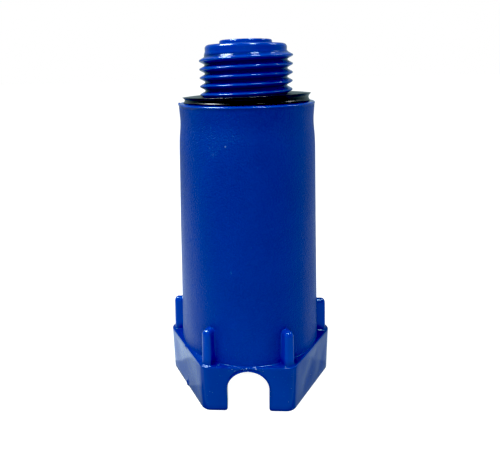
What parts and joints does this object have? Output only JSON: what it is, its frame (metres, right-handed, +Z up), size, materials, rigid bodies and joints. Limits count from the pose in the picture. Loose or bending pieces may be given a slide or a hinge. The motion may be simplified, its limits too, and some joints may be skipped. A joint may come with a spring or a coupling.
{
  "type": "threaded pressure test plug",
  "caption": "Long moulded plastic plug with a closed male pipe thread, a flat rubber seal and a notched hexagonal foot, for blanking pipe fittings.",
  "frame": {"origin": "centre of the base, in the plane of the foot's lower face", "axes": "+Z up the plug towards the threaded end, -Y towards the front bar notch, +X towards a corner of the hexagonal foot"},
  "size_m": [0.0418, 0.037, 0.0843],
  "materials": {
    "blue_plastic": "fine moulded texture on the tube, glossier neck and foot",
    "black_rubber": "smooth moulded rubber with a slight sheen"
  },
  "bodies": {
    "plug": {"plug_body": "blue_plastic"},
    "seal": {"seal_ring": "black_rubber"}
  },
  "joints": [
    {"name": "seal_lift", "type": "slide", "parent": "plug", "child": "seal", "axis": [0, 0, 1], "range_m": [0, 0.016]}
  ]
}
